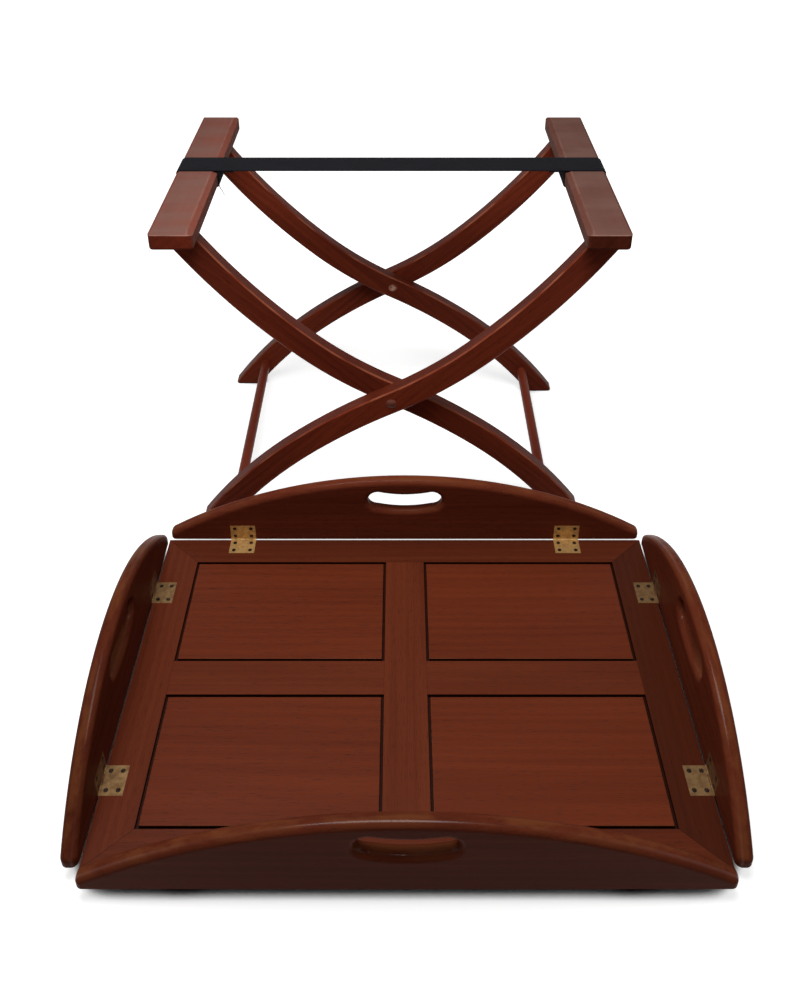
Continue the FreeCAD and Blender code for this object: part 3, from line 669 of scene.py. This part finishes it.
def groove_shade():
    # painted shade on the walls and floor of the grooves, below the deck's face
    group, given = effect("groove_shade",
                          [("Color", "colour"), ("Place", "vector"), ("Normal", "vector"), ("Middle", "vector"),
                           ("Level", "number"), ("All round", "number")],
                          [("Color", "colour")])
    # the colour and share of the painted shade in the grooves
    groove_shade_dark, groove_shade_share = (0.006, 0.002, 0.0015, 1.0), 0.85
    brim, lowest = (0.0004, 0.0014), (0.0125, 0.0138)
    height = put(group, "ShaderNodeSeparateXYZ", {"Vector": given["Place"]}).outputs["Z"]
    depth = reckon(group, "SUBTRACT", given["Level"], height)
    below = reckon(group, "MULTIPLY", fade(group, depth, *brim), fade(group, depth, *lowest, 1.0, 0.0))
    outward = put(group, "ShaderNodeVectorMath", {0: given["Place"], 1: given["Middle"]},
                  operation="SUBTRACT").outputs["Vector"]
    facing = put(group, "ShaderNodeVectorMath", {0: given["Normal"], 1: outward},
                 operation="DOT_PRODUCT").outputs["Value"]
    inward = reckon(group, "MAXIMUM", fade(group, facing, -0.05, -0.02, 1.0, 0.0), given["All round"])
    share = reckon(group, "MULTIPLY", reckon(group, "MULTIPLY", below, inward), groove_shade_share)
    put(group, "NodeGroupOutput", {"Color": blended(group, share, given["Color"], groove_shade_dark)})
    return group


groove_effect = groove_shade()
centre_low, centre_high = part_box("centre_muntin")
deck_middle = ((centre_low.x + centre_high.x) / 2, (centre_low.y + centre_high.y) / 2, centre_high.z)


def grooved(material, all_round):
    # paints shade on the grooves' sides of a wood made above: those that face the deck's middle, or all of them
    return overlaid(material, groove_effect, {"Middle": deck_middle, "Level": deck_middle[2],
                                              "All round": 1.0 if all_round else 0.0})


along_x = (0.0, 0.0, 0.0)
deck_dark = (0.094, 0.0172, 0.0072, 1.0)
deck_light = (0.178, 0.0370, 0.0140, 1.0)
rear_rail_low, rear_rail_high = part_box("tray_rear_rail")
front_rail_low, front_rail_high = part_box("tray_front_rail")
left_side_low, left_side_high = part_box("tray_left_rail")
right_side_low, right_side_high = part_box("tray_right_rail")


def mitre(outer_corner, inner_corner):
    # the plane of a mitre, from the deck's outer corner to the frame's inner corner
    slope = (outer_corner[0] - inner_corner[0], outer_corner[1] - inner_corner[1])
    return (*outer_corner, 0.0), (-slope[1], slope[0], 0.0)


mitres = {}
for row, (outer_y, inner_y) in (("rear", (rear_rail_high.y, rear_rail_low.y)),
                                ("front", (front_rail_low.y, front_rail_high.y))):
    mitres[row, "left"] = mitre((left_side_low.x, outer_y), (left_side_high.x, inner_y))
    mitres[row, "right"] = mitre((right_side_high.x, outer_y), (right_side_low.x, inner_y))


def darkened(colour, share):
    # the same colour, darker by a share: a heavier stain on the deck's rails, painted shade on the flaps
    return tuple(share * part for part in colour[:3]) + (1.0,)


for side, along, depth in (("rear", 0.15, 0.82), ("front", 0.95, 0.95)):
    rail_wood = stained_wood("deck_" + side + "_rail_wood", along_x, (along, 0.31 + along, 0.14),
                             darkened(deck_dark, depth), darkened(deck_light, depth), bevel_wear_and_light=0.2)
    rail_wood = jointed(rail_wood, [mitres[side, "left"], mitres[side, "right"]])
    dress("tray_" + side + "_rail", grooved(rail_wood, all_round=False))
for side, along, depth in (("left", 0.55, 0.95), ("right", 1.75, 0.53)):
    rail_wood = stained_wood("deck_" + side + "_rail_wood", along_y, (along, 0.27 + along, 0.19),
                             darkened(deck_dark, depth), darkened(deck_light, depth), bevel_wear_and_light=0.2)
    rail_wood = jointed(rail_wood, [mitres["rear", side], mitres["front", side]])
    dress("tray_" + side + "_rail", grooved(rail_wood, all_round=False))

centre_wood = stained_wood("centre_muntin_wood", along_y, (2.35, 0.22, 0.31), deck_dark, deck_light)
centre_wood = jointed(centre_wood, [((0.0, centre_low.y, 0.0), (0.0, 1.0, 0.0)),
                                    ((0.0, centre_high.y, 0.0), (0.0, 1.0, 0.0))])
dress("centre_muntin", grooved(centre_wood, all_round=True))
for side, along in (("left", 0.63), ("right", 1.31)):
    cross_low, cross_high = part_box(side + "_cross_muntin")
    cross_wood = stained_wood(side + "_cross_muntin_wood", along_x, (along, 0.44, 0.05 + along),
                              deck_dark, deck_light)
    cross_wood = jointed(cross_wood, [((cross_low.x, 0.0, 0.0), (1.0, 0.0, 0.0)),
                                      ((cross_high.x, 0.0, 0.0), (1.0, 0.0, 0.0))])
    dress(side + "_cross_muntin", grooved(cross_wood, all_round=True))

# Panels of the deck
# Four mahogany panels, flush with the frame, tongued into its grooves with a narrow dark gap all round, its walls
# darkened further by painted shade.
# They are cut from plainer, broader boards than the frame, so their figure is wider.
panel_dark = (0.112, 0.0195, 0.0075, 1.0)
panel_light = (0.184, 0.0350, 0.0123, 1.0)
# the lighter colour on the panels' rounded arrises is a painted highlight
for name, along, depth in (("rear_left", 0.42, 0.061), ("rear_right", 1.12, 0.048),
                           ("front_left", 1.87, 0.055), ("front_right", 2.61, 0.066)):
    panel_wood = stained_wood(name + "_panel_wood", along_x, (along, 0.24 + 0.1 * along, depth),
                              panel_dark, panel_light, figure=0.9, sheen=0.08, edge_axis=(0.0, 0.0, 1.0),
                              bevel_wear_and_light=0.9)
    dress(name + "_panel", grooved(panel_wood, all_round=True))

# Flaps of the tray
# Four curved mahogany flaps with a bull-nosed edge and a hand slot, hinged to the deck's edges.
# Their noses and the rims of the slots are rubbed lighter by hands, partly painted light; each flap has painted
# shade.
flap_dark = (0.098, 0.0178, 0.0092, 1.0)
flap_light = (0.215, 0.0455, 0.0195, 1.0)
polished_front = (0.0, -1.0, 0.0)
polished_right = (1.0, 0.0, 0.0)
polished_left = (-1.0, 0.0, 0.0)
# each flap's wood is darkened by its depth as painted shade, most on the left and front flaps
for side, turn, along, axis, depth, polish in (
        ("rear", along_x, 0.72, polished_front, 1.0, 0.15),
        ("front", along_x, 1.52, polished_front, 0.75, 0.30),
        ("left", along_y, 2.17, polished_right, 0.62, 0.12),
        ("right", along_y, 2.93, polished_left, 0.78, 0.18)):
    # the lighter colour on the flaps' noses and slot walls is wear and painted light
    dress(side + "_flap", stained_wood(side + "_flap_wood", turn, (along, 0.12, 0.08 + 0.3 * along),
                                       darkened(flap_dark, depth), darkened(flap_light, depth), sheen=0.012,
                                       edge_axis=axis, bevel_wear_and_light=0.2, narrow_wear_and_light=0.45, narrow_polish=polish))

# Hinges of the tray
# Eight brass hinges let in flush, two to a flap, with knuckles on a brass pin and four slotted screws to
# a leaf. The brass has dulled to a yellow brown, and the steel screws have blackened.
bright_brass = aged_metal("bright_brass", (0.620, 0.405, 0.165, 1.0), (0.430, 0.260, 0.105, 1.0), 0.50)
dull_brass = aged_metal("dull_brass", (0.310, 0.190, 0.085, 1.0), (0.215, 0.122, 0.056, 1.0), 0.50)
# the left and right flaps' leaves get a darker brass, as painted shade
shaded_side_brass = aged_metal("shaded_side_brass", (0.205, 0.108, 0.052, 1.0), (0.130, 0.062, 0.031, 1.0), 0.55)
pin_brass = aged_metal("pin_brass", (0.380, 0.225, 0.080, 1.0), (0.180, 0.098, 0.040, 1.0), 0.42)
screw_steel = aged_metal("blackened_screw", (0.060, 0.040, 0.030, 1.0), (0.022, 0.014, 0.011, 1.0), 0.48)
for side, deck_brass, flap_brass in (("rear", bright_brass, bright_brass), ("left", dull_brass, shaded_side_brass),
                                     ("front", dull_brass, dull_brass), ("right", dull_brass, shaded_side_brass)):
    for hand in ("a", "b"):
        dress(side + "_deck_leaf_" + hand, deck_brass)
        dress(side + "_flap_leaf_" + hand, flap_brass)
    dress(side + "_hinge_pins", pin_brass)
    dress(side + "_flap_screws", screw_steel)
dress("deck_leaf_screws", screw_steel)

# Studio
# A plain white floor under a soft lamp above the tray, with pale walls and a dimmer ceiling all round.
# The camera stands in front of the tray and looks down on it, as in the photograph.
floor_half = 14.0
floor_level = -0.0005
floor_corners = [(-floor_half, -floor_half, floor_level), (floor_half, -floor_half, floor_level),
                 (floor_half, floor_half, floor_level), (-floor_half, floor_half, floor_level)]
floor = mesh_piece("studio_floor", floor_corners, [(0, 1, 2, 3)], smooth=False)
floor_paint, floor_tree = blank_material("studio_floor")
white = (1.0, 1.0, 1.0, 1.0)


def seen_rays(tree):
    # 1 for the rays that show a surface: to the camera, in a reflection or through glass
    rays = put(tree, "ShaderNodeLightPath").outputs
    return reckon(tree, "MAXIMUM", rays["Is Camera Ray"],
                  reckon(tree, "MAXIMUM", rays["Is Glossy Ray"], rays["Is Transmission Ray"]))


# the floor is white where it lies open, and darkened by painted shadow where the object comes close over it
shade_reach = 0.06
shade_full, shade_none = 0.33, 0.56
shaded_grey = (0.03, 0.03, 0.03, 1.0)
open_grey = (0.8, 0.8, 0.8, 1.0)
bounce_grey = (0.22, 0.22, 0.22, 1.0)
floor_place = put(floor_tree, "ShaderNodeTexCoord").outputs["Object"]
floor_away = put(floor_tree, "ShaderNodeVectorMath", {0: floor_place}, operation="LENGTH").outputs["Value"]
floor_open = put(floor_tree, "ShaderNodeAmbientOcclusion", {"Distance": shade_reach}, samples=32).outputs["AO"]
floor_open = fade(floor_tree, floor_open, shade_full, shade_none)
floor_glow = fade(floor_tree, floor_away, 0.45, 1.3, 0.70, 1.0)
floor_glow = reckon(floor_tree, "MULTIPLY", floor_glow, floor_open)
floor_grey = blended(floor_tree, floor_open, shaded_grey, open_grey)
lit = put(floor_tree, "ShaderNodeBsdfDiffuse", {"Color": floor_grey}).outputs["BSDF"]
glow = put(floor_tree, "ShaderNodeEmission", {"Color": white, "Strength": floor_glow}).outputs["Emission"]
floor_shows = put(floor_tree, "ShaderNodeAddShader", {0: lit, 1: glow}).outputs[0]
floor_bounce = put(floor_tree, "ShaderNodeBsdfDiffuse", {"Color": bounce_grey}).outputs["BSDF"]
floor_mix = put(floor_tree, "ShaderNodeMixShader", {0: seen_rays(floor_tree), 1: floor_bounce, 2: floor_shows})
put(floor_tree, "ShaderNodeOutputMaterial", {"Surface": floor_mix.outputs[0]})
floor.data.materials.append(floor_paint)

studio = bpy.data.worlds.new("studio")
studio.use_nodes = True
studio_tree = studio.node_tree
studio_tree.nodes.clear()
direction = put(studio_tree, "ShaderNodeTexCoord").outputs["Generated"]
height = put(studio_tree, "ShaderNodeSeparateXYZ", {"Vector": direction}).outputs["Z"]
walls = fade(studio_tree, height, 0.50, 0.72, 1.0, 0.22)
room_white = (1.0, 0.98, 0.96, 1.0)
wall_light = put(studio_tree, "ShaderNodeBackground", {"Color": white, "Strength": walls}).outputs[0]
room_light = put(studio_tree, "ShaderNodeBackground", {"Color": room_white, "Strength": 0.16}).outputs[0]
studio_mix = put(studio_tree, "ShaderNodeMixShader", {0: seen_rays(studio_tree), 1: room_light, 2: wall_light})
put(studio_tree, "ShaderNodeOutputWorld", {"Surface": studio_mix.outputs[0]})
bpy.context.scene.world = studio

lamp_place = (-0.2, -0.27, 1.80)
lamp_aim = (0.0, 0.0, 0.1)
lamp_away = [a - b for a, b in zip(lamp_place, lamp_aim)]
lamp_light = bpy.data.lights.new("tray_lamp", "AREA")
lamp_light.shape = "RECTANGLE"
lamp_light.size, lamp_light.size_y = 1.3, 0.6
lamp_light.energy = 24.0
lamp = bpy.data.objects.new("tray_lamp", lamp_light)
lamp.location = lamp_place
lamp.rotation_euler = (math.atan2(math.hypot(*lamp_away[:2]), lamp_away[2]), 0.0,
                       math.atan2(lamp_away[0], -lamp_away[1]))
bpy.context.scene.collection.objects.link(lamp)

camera_tilt = 0.5217
camera_lens = bpy.data.cameras.new("camera")
camera_lens.sensor_width = 36.0
camera_lens.lens = 35.225
camera_lens.shift_x = 0.0046
camera_lens.shift_y = -0.2215
camera_lens.clip_start = 0.02
camera_lens.clip_end = 60.0
camera = bpy.data.objects.new("camera", camera_lens)
camera.location = (-0.0083, -1.1091, 1.1405)
camera.rotation_euler = (math.pi / 2 - camera_tilt, 0.0, 0.0)
bpy.context.scene.collection.objects.link(camera)
bpy.context.scene.camera = camera
bpy.context.scene.view_settings.view_transform = "Standard"
